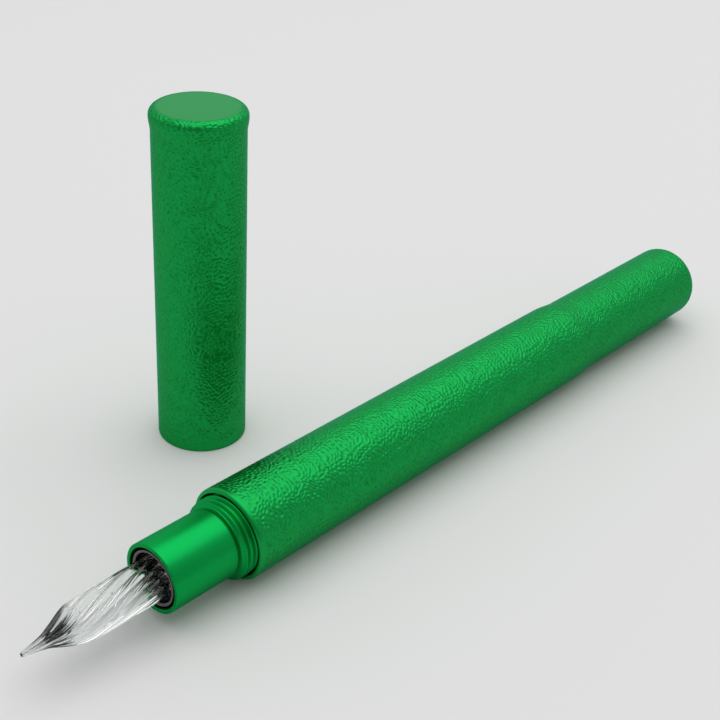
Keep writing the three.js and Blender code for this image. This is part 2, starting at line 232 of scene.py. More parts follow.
def tone_and_gloss(
    tree: NodeTree, tone_by: NodeSocket, tones: Tones, gloss_by: NodeSocket, gloss: Range
) -> Settings:
    """Lets a finish's tone and roughness each follow a pattern.

    Args:
        tree: the material's node tree.
        tone_by: what the tone follows, from 0 to 1.
        tones: the sRGB hex colours at 0 and at 1.
        gloss_by: what the roughness follows, from 0 to 1.
        gloss: the roughness at 0 and at 1.

    Returns:
        The shader's inputs for both.
    """
    low, high = (hex_colour(tone) for tone in tones)
    tone = add_node(tree, "Mix", {"Factor": tone_by, "A": low, "B": high}, data_type="RGBA")
    levels = {"Value": gloss_by, "To Min": gloss[0], "To Max": gloss[1]}
    rough = add_node(tree, "MapRange", levels)
    return {"Base Color": tone.outputs[MIXED_COLOUR], "Roughness": rough.outputs[0]}


@dataclass(frozen=True)
class Grain:
    """A fine noise in a surface, and the relief that it makes.

    The cells are how many fit in a millimetre along each axis, the pen's own first, and the
    strength is the share of the height that shows.
    """

    cells: tuple[float, float, float]
    detail: float
    height: float
    strength: float

    def add(self, tree: NodeTree) -> tuple[NodeSocket, NodeSocket]:
        """Adds the noise and its bump.

        Args:
            tree: the material's node tree.

        Returns:
            The noise and the bumped normal.
        """
        noise = {"Vector": object_millimetres(tree, self.cells), "Scale": 1.0, "Detail": self.detail}
        pattern = add_node(tree, "TexNoise", noise).outputs["Fac"]
        relief = {"Strength": self.strength, "Distance": self.height * MM, "Height": pattern}
        return pattern, add_node(tree, "Bump", relief).outputs[0]


@dataclass(frozen=True)
class Finish:
    """A finish of the real pen, and what it puts into the shader of its material."""

    name: str

    def surface(self, tree: NodeTree) -> Settings:
        """Wires the finish's patterns.

        Args:
            tree: the material's node tree.

        Returns:
            The shader's inputs: input name to a value, or to a socket to link from.
        """
        raise NotImplementedError

    def material(self) -> Material:
        """Builds the node material.

        Returns:
            The material, named for the finish.
        """
        material = bpy.data.materials.new(self.name)
        material.use_nodes = True
        tree = material.node_tree
        tree.nodes.clear()
        shader = add_node(tree, "BsdfPrincipled", self.surface(tree))
        add_node(tree, "OutputMaterial", {"Surface": shader.outputs[0]})
        return material


@dataclass(frozen=True)
class CrinkledAnodising(Finish):
    """Anodised aluminium over an embossed, leathery crinkle.

    The dye gives a deep metallic green. The crinkle is short worm-like ridges, a little over
    half a millimetre apart, that swirl like a fingerprint and break the highlight into marks.
    """

    name: str = "anodised_aluminium_crinkled"
    dye: str = "029d45"
    # darker green painted into the crinkle's hollows, as painted shade
    hollow_shade_dye: str = "029240"
    roughness: float = 0.34
    smoother: float = 0.04
    rougher: float = 0.05
    oxide: float = 0.15
    top_oxide: float = 0.42
    ridge_pitch: float = 0.54
    ridge_height: float = 0.011
    waves: int = 8
    wave_shift: float = 1.7
    hollow_level: float = -3.0
    crest_level: float = 2.0
    swirl_size: float = 2.3
    swirl_bend: float = 1.6
    patch_size: float = 2.4

    def relief(self, tree: NodeTree, place: NodeSocket) -> NodeSocket:
        """Adds up waves of one length and many headings, bent by a slow noise.

        Args:
            tree: the material's node tree.
            place: coordinates in millimetres.

        Returns:
            The height, as the sum of the waves.
        """
        swirl = add_node(
            tree, "TexNoise", {"Vector": place, "Scale": 1 / self.swirl_size, "Detail": 0.0}
        ).outputs["Color"]
        bend = {0: swirl, 1: (self.swirl_bend,) * 3, 2: place}
        bent = add_node(tree, "VectorMath", bend, operation="MULTIPLY_ADD").outputs[0]
        crests = []
        for wave in range(self.waves):
            # headings spread evenly over a half sphere, on a golden spiral
            rise = (wave + 0.5) / self.waves
            level = math.sqrt(1 - rise * rise)
            turn = wave * GOLDEN_TURN
            heading = Vector((level * math.cos(turn), level * math.sin(turn), rise))
            phase = add_node(
                tree, "VectorMath", {0: bent, 1: heading * math.tau / self.ridge_pitch},
                operation="DOT_PRODUCT",
            ).outputs["Value"]
            shifted = add_node(tree, "Math", {0: phase, 1: self.wave_shift * wave}).outputs[0]
            crests.append(add_node(tree, "Math", {0: shifted}, operation="SINE").outputs[0])
        total = crests[0]
        for crest in crests[1:]:
            total = add_node(tree, "Math", {0: total, 1: crest}).outputs[0]
        return total

    def surface(self, tree: NodeTree) -> Settings:
        """Wires crinkle, dye with painted shade in its hollows, and oxide, by the mesh's crinkle and
        film attributes.

        Args:
            tree: the material's node tree.

        Returns:
            The shader's inputs.
        """
        place = object_millimetres(tree)
        mask = add_node(tree, "Attribute", attribute_name="crinkle").outputs["Fac"]
        height = self.relief(tree, place)
        crinkle = add_node(
            tree, "Bump", {"Strength": mask, "Distance": self.ridge_height * MM, "Height": height}
        ).outputs[0]
        # the crinkle's hollows are painted a darker green: painted shade
        crest = add_node(
            tree, "MapRange",
            {"Value": height, "From Min": self.hollow_level, "From Max": self.crest_level},
        ).outputs[0]
        spared = add_node(tree, "Math", {0: 1.0, 1: mask}, operation="SUBTRACT").outputs[0]
        share = add_node(tree, "Math", {0: crest, 1: spared}, operation="MAXIMUM").outputs[0]
        patches = add_node(
            tree, "TexNoise", {"Vector": place, "Scale": 1 / self.patch_size, "Detail": 2.0}
        ).outputs["Fac"]
        gloss = (self.roughness - self.smoother, self.roughness + self.rougher)
        # the cap's flat top keeps a clearer film of oxide, which greys its reflection
        cleared = add_node(tree, "Attribute", attribute_name="film").outputs["Fac"]
        film = add_node(
            tree, "MapRange", {"Value": cleared, "To Min": self.oxide, "To Max": self.top_oxide}
        )
        return {
            **tone_and_gloss(tree, share, (self.hollow_shade_dye, self.dye), patches, gloss),
            "Metallic": 1.0,
            "Specular Tint": hex_colour(EDGE_TINT),
            "Normal": crinkle,
            "Coat Weight": film.outputs[0],
            "Coat Roughness": self.roughness,
            "Coat IOR": OXIDE_IOR,
            "Coat Normal": crinkle,
        }


@dataclass(frozen=True)
class SatinAnodising(Finish):
    """Smooth anodised aluminium, bead-blasted very fine and dyed the same green.

    It gives a soft, unbroken highlight along the grip, with a faint turned grain.
    """

    name: str = "anodised_aluminium_satin"
    dye: str = "009e47"
    roughness: float = 0.37
    spread: float = 0.03
    oxide: float = 0.08
    clouds_per_mm: float = 0.6
    # rings 0.05 mm apart, which is coarser than real blasting, so that they show
    grain: Grain = Grain(cells=(1 / 0.05, 0.15, 0.15), detail=2.0, height=0.004, strength=0.12)

    def surface(self, tree: NodeTree) -> Settings:
        """Wires the turned grain and the slow change of gloss.

        Args:
            tree: the material's node tree.

        Returns:
            The shader's inputs.
        """
        relief = self.grain.add(tree)[1]
        place = object_millimetres(tree)
        cloud = add_node(
            tree, "TexNoise", {"Vector": place, "Scale": self.clouds_per_mm, "Detail": 3.0}
        ).outputs["Fac"]
        gloss = {"To Min": self.roughness - self.spread, "To Max": self.roughness + self.spread}
        return {
            "Base Color": hex_colour(self.dye),
            "Metallic": 1.0,
            "Roughness": add_node(tree, "MapRange", {"Value": cloud, **gloss}).outputs[0],
            "Specular Tint": hex_colour(EDGE_TINT),
            "Normal": relief,
            "Coat Weight": self.oxide,
            "Coat Roughness": self.roughness,
            "Coat IOR": OXIDE_IOR,
            "Coat Normal": relief,
        }


@dataclass(frozen=True)
class FlamePolishedGlass(Finish):
    """Clear soda glass, drawn and flame-polished.

    It is colourless and bends what is behind it into streaks along the flutes. Faint draw
    lines keep its reflections from being perfectly straight.
    """

    name: str = "soda_glass_flame_polished"
    colour: str = "fbfdfc"
    ior: float = 1.5
    # draw lines 0.35 mm apart and eight times as long
    lines: Grain = Grain(cells=(0.12 / 0.35, 1 / 0.35, 1 / 0.35), detail=2.0, height=0.02, strength=0.02)

    def surface(self, tree: NodeTree) -> Settings:
        """Wires the draw lines.

        Args:
            tree: the material's node tree.

        Returns:
            The shader's inputs.
        """
        return {
            "Base Color": hex_colour(self.colour),
            "Roughness": 0.0,
            "IOR": self.ior,
            "Transmission Weight": 1.0,
            "Normal": self.lines.add(tree)[1],
        }


@dataclass(frozen=True)
class MouldedPlastic(Finish):
    """A moulded plastic or rubber part with a fine surface grain.

    The grain breaks up its reflection a little, and its tone wanders slightly, as moulded
    material does where it cooled unevenly.
    """

    colour: str
    shade: str
    roughness: float
    ior: float
    smoother: float = 0.05
    rougher: float = 0.07
    grain: Grain = Grain(cells=(1 / 0.12, 1 / 0.12, 1 / 0.12), detail=3.0, height=0.006, strength=0.5)
    drift_per_mm: float = 0.5

    def surface(self, tree: NodeTree) -> Settings:
        """Wires the grain and the drift of the tone.

        Args:
            tree: the material's node tree.

        Returns:
            The shader's inputs.
        """
        pattern, relief = self.grain.add(tree)
        place = object_millimetres(tree)
        drift = add_node(
            tree, "TexNoise", {"Vector": place, "Scale": self.drift_per_mm, "Detail": 2.0}
        ).outputs["Fac"]
        gloss = (self.roughness - self.smoother, self.roughness + self.rougher)
        return {
            **tone_and_gloss(tree, drift, (self.shade, self.colour), pattern, gloss),
            "IOR": self.ior,
            "Normal": relief,
        }


@dataclass(frozen=True)
class SmokeLipPaintedLight(Finish):
    """Black ABS whose front lip is a dull smoke brown, lightened into a painted highlight ring.

    The lip reads as a thin grey ring of painted highlight where it catches the light; the bore
    behind it is painted near black, as painted shade, and stays glossy.
    """

    name: str = "abs_smoke_lip_painted_highlight_and_shade"
    lip_place: float = 0.0
    # smoke brown of the turned lip, lightened: partly its own colour, partly painted highlight
    lip: str = "544a49"
    # near black: the holder's dark plastic, darkened further as painted shade deep in the bore
    bore: str = "0b0e13"
    lip_depth: float = 0.12
    bore_to_lip_roughness: Range = (0.22, 0.42)
    ior: float = 1.53
    grain: Grain = Grain(cells=(8.0, 8.0, 8.0), detail=3.0, height=0.005, strength=0.5)

    def surface(self, tree: NodeTree) -> Settings:
        """Wires the tone and the gloss, which tell the lip's painted highlight from the bore's painted
        shade by the place along the pen.

        Args:
            tree: the material's node tree.

        Returns:
            The shader's inputs.
        """
        along = add_node(tree, "SeparateXYZ", {"Vector": object_millimetres(tree)}).outputs["X"]
        lip_end = self.lip_place + self.lip_depth
        share = add_node(
            tree, "MapRange", {"Value": along, "From Min": lip_end, "From Max": self.lip_place}
        ).outputs[0]
        return {
            **tone_and_gloss(tree, share, (self.bore, self.lip), share, self.bore_to_lip_roughness),
            "IOR": self.ior,
            "Normal": self.grain.add(tree)[1],
        }


@dataclass(frozen=True)
class ClearStyrene(Finish):
    """Clear moulded polystyrene, bright and slightly blue, with faint flow marks."""

    name: str = "polystyrene_clear_moulded"
    colour: str = "eef4f8"
    roughness: float = 0.06
    ior: float = 1.59
    clearness: float = 0.92
    marks: Grain = Grain(cells=(0.08, 0.7, 0.7), detail=2.0, height=0.01, strength=0.2)

    def surface(self, tree: NodeTree) -> Settings:
        """Wires the flow marks.

        Args:
            tree: the material's node tree.

        Returns:
            The shader's inputs.
        """
        return {
            "Base Color": hex_colour(self.colour),
            "Roughness": self.roughness,
            "IOR": self.ior,
            "Transmission Weight": self.clearness,
            "Normal": self.marks.add(tree)[1],
        }


@dataclass(frozen=True)
class TurnedMetal(Finish):
    """Bare metal from the lathe: fine tool rings round the axis and a bright sheen."""

    colour: str
    shade: str
    roughness: float
    smoother: float = 0.05
    rougher: float = 0.06
    rings: Grain = Grain(cells=(1 / 0.09, 0.02, 0.02), detail=1.0, height=0.006, strength=0.35)
    stains_per_mm: float = 0.7

    def surface(self, tree: NodeTree) -> Settings:
        """Wires the tool rings and the faint stains.

        Args:
            tree: the material's node tree.

        Returns:
            The shader's inputs.
        """
        place = object_millimetres(tree)
        stain = add_node(
            tree, "TexNoise", {"Vector": place, "Scale": self.stains_per_mm, "Detail": 4.0}
        ).outputs["Fac"]
        gloss = (self.roughness - self.smoother, self.roughness + self.rougher)
        return {
            **tone_and_gloss(tree, stain, (self.shade, self.colour), stain, gloss),
            "Metallic": 1.0,
            "Normal": self.rings.add(tree)[1],
        }


@dataclass(frozen=True)
class MattPaper(Finish):
    """Pale matt paper under the pen: it takes a soft shadow and hardly shines."""

    name: str = "paper_pale_matt"
    colour: str = "dddddc"
    roughness: float = 0.85
    shine: float = 0.15
    fibres: Grain = Grain(cells=(2.0, 2.0, 2.0), detail=2.0, height=0.01, strength=0.1)

    def surface(self, tree: NodeTree) -> Settings:
        """Wires the fibres.

        Args:
            tree: the material's node tree.

        Returns:
            The shader's inputs.
        """
        return {
            "Base Color": hex_colour(self.colour),
            "Roughness": self.roughness,
            "Specular IOR Level": self.shine,
            "Normal": self.fibres.add(tree)[1],
        }


Materials = dict[Slot, Material]


def make_materials() -> Materials:
    """Makes one material for each slot but the nib holder's, shared by the slot's pieces.

    Returns:
        The materials, by slot.
    """
    # ABS moulded in a polished tool: near black, with a soft sheen
    black = MouldedPlastic("abs_black_moulded", "1b1c1f", "131416", roughness=0.3, ior=1.53)
    # nitrile rubber: black and matt, with a dusty grain
    rubber = MouldedPlastic("nitrile_rubber_moulded", "202022", "161617", roughness=0.7, ior=1.52)
    # silicone rubber: milky and matt
    silicone = MouldedPlastic(
        "silicone_rubber_moulded", "d3d0c9", "bfbbb2", roughness=0.55, ior=1.42
    )
    # stainless steel: a cool pale grey
    steel = TurnedMetal("stainless_steel_turned", "c9ccd0", "b4b7bc", roughness=0.24)
    # brass: a soft yellow, duller in patches
    brass = TurnedMetal("brass_turned", "d9b765", "bf9a4c", roughness=0.3)
    finishes: dict[Slot, Finish] = {
        Slot.CRINKLED_GREEN: CrinkledAnodising(),
        Slot.SATIN_GREEN: SatinAnodising(),
        Slot.GLASS: FlamePolishedGlass(),
        Slot.BLACK_PLASTIC: black,
        Slot.CLEAR_PLASTIC: ClearStyrene(),
        Slot.RUBBER: rubber,
        Slot.SILICONE: silicone,
        Slot.STEEL: steel,
        Slot.BRASS: brass,
    }
    return {slot: finish.material() for slot, finish in finishes.items()}


def arc(radius: float, place: float, size: float, start: float, end: float, steps: int = 6) -> Profile:
    """Points of a round on a profile.

    Args:
        radius: radius of the round's centre from the axis.
        place: place of its centre along the axis.
        size: the round's own radius.
        start: first angle in degrees, 0 being straight out from the axis.
        end: last angle in degrees.
        steps: number of straight steps.

    Returns:
        The points, in order.
    """
    angles = [math.radians(start + (end - start) * step / steps) for step in range(steps + 1)]
    return [(radius + size * math.cos(a), place + size * math.sin(a)) for a in angles]


def between(start: Point, end: Point, outward: float, onward: float) -> Point:
    """A point at one share of the way in radius, and at another in place."""
    return start[0] + (end[0] - start[0]) * outward, start[1] + (end[1] - start[1]) * onward


def eased(start: Point, end: Point, steps: int = 16) -> Profile:
    """Points of a smooth S between two points of a profile.

    Args:
        start: radius and place where it starts.
        end: radius and place where it ends.
        steps: number of straight steps.

    Returns:
        The points, in order.
    """
    shares = [step / steps for step in range(steps + 1)]
    return [between(start, end, (1 - math.cos(math.pi * share)) / 2, share) for share in shares]


def refined(profile: Profile, longest: float) -> Profile:
    """Adds points to a profile until no step is longer than a limit.

    Args:
        profile: the points.
        longest: the longest step in millimetres.

    Returns:
        The points with the added ones.
    """
    points = [profile[0]]
    for start, end in zip(profile, profile[1:]):
        count = max(1, math.ceil(math.dist(start, end) / longest))
        points += [between(start, end, step / count, step / count) for step in range(1, count + 1)]
    return points


def sleeve(bore: float, radius: float, start: float, end: float) -> Profile:
    """The closed profile of a plain sleeve."""
    return ((bore, start), (radius, start), (radius, end), (bore, end))


def ease(value: float, start: float, width: float) -> float:
    """A smooth step of a value, from 0 at the start to 1 at a width beyond it."""
    share = min(max((value - start) / width, 0.0), 1.0)
    return share * share * (3 - 2 * share)


def clear_selection() -> None:
    """Leaves edit mode and deselects every object."""
    if bpy.context.object and bpy.context.object.mode != "OBJECT":
        bpy.ops.object.mode_set(mode="OBJECT")
    bpy.ops.object.select_all(action="DESELECT")


def is_corner(before: Vector, here: Vector, after: Vector) -> bool:
    """True where a profile turns sharply."""
    return (here - before).angle(after - here, 0.0) > math.radians(CORNER_DEGREES)


@dataclass
class Turner:
    """Turns profiles about one axis, as a lathe does."""

    axis: Axis
    bevel_steps: int = 2
    smooth_degrees: float = 32

    def draw(self, name: str, points: list[Vector]) -> Object:
        """Draws a wire through points: a plane shrunk to one corner, then extruded.

        Args:
            name: the new object's name.
            points: the points in metres, in order.

        Returns:
            The object, left in edit mode with its last point selected.
        """
        clear_selection()
        bpy.ops.mesh.primitive_plane_add(size=MM, location=points[0])
        wire = bpy.context.object
        wire.name = name
        bpy.ops.object.mode_set(mode="EDIT")
        bpy.ops.mesh.select_mode(type="VERT")
        bpy.ops.mesh.merge(type="CENTER")
        for start, end in zip(points, points[1:]):
            bpy.ops.mesh.extrude_region_move(TRANSFORM_OT_translate={"value": end - start})
        return wire

    def soften(self, wire: Object, corners: list[Vector], size: float) -> None:
        """Rounds some corners of a wire with a small bevel.

        Args:
            wire: the wire, in edit mode.
            corners: the places of the corners, in metres.
            size: the bevel's size in millimetres.
        """
        bpy.ops.mesh.select_all(action="DESELECT")
        bpy.ops.object.mode_set(mode="OBJECT")
        for vertex in wire.data.vertices:
            place = wire.matrix_world @ vertex.co
            vertex.select = any((place - corner).length < MERGE_MM * MM for corner in corners)
        bpy.ops.object.mode_set(mode="EDIT")
        bpy.ops.mesh.bevel(
            offset=size * MM, segments=self.bevel_steps, affect="VERTICES", clamp_overlap=True
        )

    def turn(
        self,
        name: str,
        profile: Profile,
        smoothness: Smoothness,
        closed: bool = True,
        edge: float = EDGE_MM,
    ) -> Object:
        """Turns a profile into a solid of revolution.

        Args:
            name: the piece's name.
            profile: points in millimetres.
            smoothness: the steps round the axis.
            closed: True for a ring, whose last point joins its first.
            edge: size in millimetres of the bevel on sharp corners, or 0 for none.

        Returns:
            The piece, at the origin, smooth apart from its sharp edges.
        """
        points = [self.axis.point(radius, place) for radius, place in profile]
        looped = [points[-1], *points, points[0]] if closed else [points[0], *points, points[-1]]
        corners = [
            here
            for before, here, after in zip(looped, looped[1:], looped[2:])
            if is_corner(before, here, after) and self.axis.radius_of(here) > edge
        ]
        piece = self.draw(name, points + points[:1] if closed else points)
        if closed:
            bpy.ops.mesh.select_all(action="SELECT")
            bpy.ops.mesh.remove_doubles(threshold=MERGE_MM * MM)
        if edge and corners:
            self.soften(piece, corners, edge)
        bpy.ops.mesh.select_all(action="SELECT")
        bpy.ops.mesh.spin(
            steps=smoothness.value, angle=math.tau, center=self.axis.origin, axis=self.axis.along
        )
        bpy.ops.mesh.select_all(action="SELECT")
        bpy.ops.mesh.remove_doubles(threshold=MERGE_MM * MM)
        bpy.ops.mesh.normals_make_consistent(inside=False)
        bpy.ops.object.mode_set(mode="OBJECT")
        bpy.ops.object.transform_apply(location=True, rotation=True, scale=True)
        bpy.ops.object.shade_smooth_by_angle(angle=math.radians(self.smooth_degrees))
        return piece


def raise_surface(
    piece: Object, weights: list[float], height: float, texture: Texture | None = None
) -> None:
    """Moves a piece's surface outwards, by a weight at each vertex.

    Args:
        piece: the piece.
        weights: one weight from 0 to 1 for each vertex.
        height: how far a weight of 1 moves the surface, in millimetres.
        texture: shares the height out from place to place, half of it inwards.
    """
    clear_selection()
    group = piece.vertex_groups.new(name="relief")
    for index, weight in enumerate(weights):
        if weight > 0:
            group.add([index], weight, "REPLACE")
    relief = piece.modifiers.new("relief", "DISPLACE")
    relief.texture = texture
    relief.texture_coords = "LOCAL"
    relief.vertex_group = group.name
    relief.strength = height * MM
    relief.mid_level = 0.5 if texture else 0.0
    piece.select_set(True)
    bpy.context.view_layer.objects.active = piece
    bpy.ops.object.modifier_apply(modifier=relief.name)
    piece.vertex_groups.clear()


def store_weights(piece: Object, name: str, weights: list[float]) -> None:
    """Stores one number for each vertex of a piece, for its material to read.

    Args:
        piece: the piece.
        name: the attribute's name.
        weights: the numbers.
    """
    attribute = piece.data.attributes.new(name, "FLOAT", "POINT")
    attribute.data.foreach_set("value", weights)


def dress(piece: Object, body: Body, node: str, material: Material) -> None:
    """Gives a piece its material and the body it rides on, and hides the node that it stands for.

    Args:
        piece: the piece.
        body: the body it moves with.
        node: the node of the frame that it stands for.
        material: its material.
    """
    piece.data.materials.clear()
    piece.data.materials.append(material)
    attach(piece, body.value)
    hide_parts(node)
    log.info("%s: %d faces, rides on %s", piece.name, len(piece.data.polygons), body.value)


@dataclass(frozen=True)
class Crinkle:
    """The crinkle that is embossed in the shells: soft hollows in the mesh itself."""

    hollow_size: float = 0.7
    hollow_depth: float = 0.02

    def emboss(self, piece: Object, weights: list[float]) -> None:
        """Embosses a shell, and stores the weights for its finish.

        Args:
            piece: the shell.
            weights: one weight from 0, smooth, to 1, crinkled, for each vertex.
        """
        store_weights(piece, "crinkle", weights)
        hollows = bpy.data.textures.new("leathery hollows", "CLOUDS")
        hollows.noise_scale = self.hollow_size * MM
        hollows.noise_depth = 1
        raise_surface(piece, weights, self.hollow_depth, hollows)


@dataclass
class Assembly:
    """A group of pieces on one axis."""

    axis: Axis
    materials: Materials

    def finish(self, piece: Object, body: Body, node: str, slot: Slot) -> None:
        """Dresses a piece in the material of its slot."""
        dress(piece, body, node, self.materials[slot])

    def make(
        self,
        name: str,
        profile: Profile,
        body: Body,
        node: str,
        slot: Slot,
        smoothness: Smoothness = Smoothness.HIDDEN,
        closed: bool = True,
        edge: float = EDGE_MM,
    ) -> None:
        """Turns a plain piece and dresses it.

        Args:
            name: the piece's name.
            profile: points in millimetres.
            body: the body it moves with.
            node: the node of the frame that it stands for.
            slot: the material slot.
            smoothness: the steps round the axis.
            closed: True for a ring, whose last point joins its first.
            edge: size in millimetres of the bevel on sharp corners, or 0 for none.
        """
        piece = Turner(self.axis).turn(name, profile, smoothness, closed, edge)
        self.finish(piece, body, node, slot)


@dataclass
class Barrel(Assembly):
    """The crinkled aluminium tube with its waist, and the brass bushing in its mouth."""

    radius: float = 6.25
    length: float = 104.0
    rear_radius: float = 5.94
    waist_start: float = 69.5
    waist_end: float = 74.0
    front_edge: float = 0.5
    rear_edge: float = 1.8
    rear_edge_steps: int = 10
    mouth_bore: float = 5.6
    mouth_chamfer: float = 0.12
    bore: float = 4.4
    end_wall: float = 4.0
    shoulder: float = 12.7
    cell: float = 0.26
    bore_margin: float = 0.3
    bore_fade: float = 0.2
    front_margin: float = 0.3
    front_fade: float = 1.0
    bushing: Profile = ((4.85, 3.4), (5.45, 3.4), (5.45, 12.4), (4.75, 12.4), (4.75, 3.8))

    def shell_profile(self) -> Profile:
        """Draws the shell, with its outer side in steps as fine as the crinkle needs.

        Returns:
            The shell's profile.
        """
        front, rear = self.front_edge, self.rear_edge
        outside = [
            *arc(self.radius - front, front, front, -90, 0),
            *eased((self.radius, self.waist_start), (self.rear_radius, self.waist_end)),
            *arc(self.rear_radius - rear, self.length - rear, rear, 0, 90, self.rear_edge_steps),
            (0.0, self.length),
        ]
        inside = [
            (0.0, self.length - self.end_wall),
            (self.bore, self.length - self.end_wall),
            (self.bore, self.shoulder),
            (self.mouth_bore, self.shoulder),
            (self.mouth_bore, self.mouth_chamfer),
            (self.mouth_bore + self.mouth_chamfer, 0.0),
        ]
        return [*refined(outside, self.cell), *inside]

    def crinkle_weight(self, point: Vector) -> float:
        """Tells how strongly the shell is crinkled at a point.

        Args:
            point: the point, in metres.

        Returns:
            1 where it is crinkled, down to 0 in its bore and on its front edge.
        """
        place = self.axis.place_of(point)
        if place > self.length - self.rear_edge:
            return 1.0
        bore = self.mouth_bore if place < self.shoulder else self.bore
        wall = ease(self.axis.radius_of(point), bore + self.bore_margin, self.bore_fade)
        return wall * ease(place, self.front_margin, self.front_fade)

    def build(self) -> None:
        """Builds the shell and the bushing."""
        shell = Turner(self.axis).turn("barrel_tube", self.shell_profile(), Smoothness.SHELL, edge=0)
        Crinkle().emboss(shell, [self.crinkle_weight(vertex.co) for vertex in shell.data.vertices])
        self.finish(shell, Body.BARREL, "barrel_shell", Slot.CRINKLED_GREEN)
        self.make(
            "barrel_mouth_bushing", self.bushing, Body.BARREL, "barrel_bushing", Slot.BRASS,
            Smoothness.VISIBLE,
        )


@dataclass
class Cap(Assembly):
    """The crinkled cap with its flared lip, its thread ring and its inner cap."""

    radius: float = 6.34
    lip_radius: float = 6.56
    height: float = 49.6
    flare_start: float = 46.4
    flare_end: float = 48.4
    flare_steps: int = 10
    top_edge: float = 1.1
    top_edge_steps: int = 8
    smooth_top: float = 5.2
    top_fade: float = 0.6
    mouth_edge: float = 0.2
    mouth_edge_steps: int = 4
    mouth_chamfer: float = 0.12
    mouth_margin: float = 0.4
    mouth_fade: float = 1.4
    bore: float = 5.75
    bore_margin: float = 0.2
    bore_fade: float = 0.2
    top_wall: float = 2.2
    seat: float = 0.15
    end_gap: float = 0.3
    cell: float = 0.24
    ring_bore: float = 5.3
    ring_start: float = 0.9
    ring_end: float = 8.0
    inner_start: float = 8.4
    inner_mouth_bore: float = 4.95
    inner_bore: float = 4.2
    inner_seat: float = 12.3
    inner_wall: float = 1.6

    def shell_profile(self) -> Profile:
        """Draws the shell, finely stepped outside.

        Returns:
            The shell's profile.
        """
        mouth, top = self.mouth_edge, self.top_edge
        flare = (self.radius, self.flare_start), (self.lip_radius, self.flare_end)
        outside = [
            *arc(self.radius - mouth, mouth, mouth, -90, 0, self.mouth_edge_steps),
            *eased(*flare, self.flare_steps),
            *arc(self.lip_radius - top, self.height - top, top, 0, 90, self.top_edge_steps),
            (0.0, self.height),
        ]
        inside = [
            (0.0, self.height - self.top_wall),
            (self.bore, self.height - self.top_wall),
            (self.bore, self.mouth_chamfer),
            (self.bore + self.mouth_chamfer, 0.0),
        ]
        return [*refined(outside, self.cell), *inside]

    def inner_profile(self) -> Profile:
        """Draws the inner cap, which seals round the nib.

        Returns:
            The inner cap's profile.
        """
        radius = self.bore - self.seat
        top = self.height - self.top_wall - self.end_gap
        return [
            (self.inner_mouth_bore, self.inner_start),
            (radius, self.inner_start),
            (radius, top),
            (0.0, top),
            (0.0, top - self.inner_wall),
            (self.inner_bore, top - self.inner_wall),
            (self.inner_bore, self.inner_seat),
            (self.inner_mouth_bore, self.inner_seat),
        ]

    def crinkle_weight(self, point: Vector) -> float:
        """Tells how strongly the cap is crinkled at a point.

        Args:
            point: the point, in metres.

        Returns:
            1 where it is crinkled, down to 0 in its bore, near its mouth and on its flat top.
        """
        radius, height = self.axis.radius_of(point), self.axis.place_of(point)
        if height > self.height - self.top_edge:
            return ease(radius, self.smooth_top, self.top_fade)
        wall = ease(radius, self.bore + self.bore_margin, self.bore_fade)
        return wall * ease(height, self.mouth_margin, self.mouth_fade)

    def film_weight(self, point: Vector) -> float:
        """The share of the clearer film at a point: all of it on the flat top, none elsewhere."""
        on_top = self.axis.place_of(point) > self.height - self.top_edge
        return 1.0 - self.crinkle_weight(point) if on_top else 0.0

    def build(self) -> None:
        """Builds the shell, the thread ring and the inner cap."""
        shell = Turner(self.axis).turn("cap_tube", self.shell_profile(), Smoothness.SHELL, edge=0)
        # the weights go by the places from before the crinkle moves them
        film = [self.film_weight(vertex.co) for vertex in shell.data.vertices]
        Crinkle().emboss(shell, [self.crinkle_weight(vertex.co) for vertex in shell.data.vertices])
        store_weights(shell, "film", film)
        self.finish(shell, Body.CAP, "cap_shell", Slot.CRINKLED_GREEN)
        ring = sleeve(self.ring_bore, self.bore - self.seat, self.ring_start, self.ring_end)
        inner = self.inner_profile()
        for name, profile, node in (
            ("cap_grip_ring", ring, "cap_thread_ring"),
            ("cap_sealing_cup", inner, "cap_inner_cap"),
        ):
            self.make(name, profile, Body.CAP, node, Slot.BLACK_PLASTIC, Smoothness.VISIBLE)


@dataclass(frozen=True)
class Thread:
    """A right-hand external thread with rounded ridges that run out at both ends."""

    start: float
    end: float
    pitch: float
    root: float
    depth: float
    crest_curve: float = 0.8

    def root_profile(self) -> Profile:
        """The line along the root, from end to end."""
        return ((self.root, self.start), (self.root, self.end))

    def ridge(self, angle: float, place: float) -> float:
        """Finds the height of the ridge.

        Args:
            angle: angle about the axis in radians.
            place: place along the axis.

        Returns:
            The height, from 0 at the root to 1 at the crest.
        """
        turns = place / self.pitch - angle / math.tau
        run_out = min(place - self.start, self.end - place) / (self.pitch / 2)
        crest = 0.5 + 0.5 * math.cos(math.tau * turns)
        return min(max(run_out, 0.0), 1.0) * crest**self.crest_curve


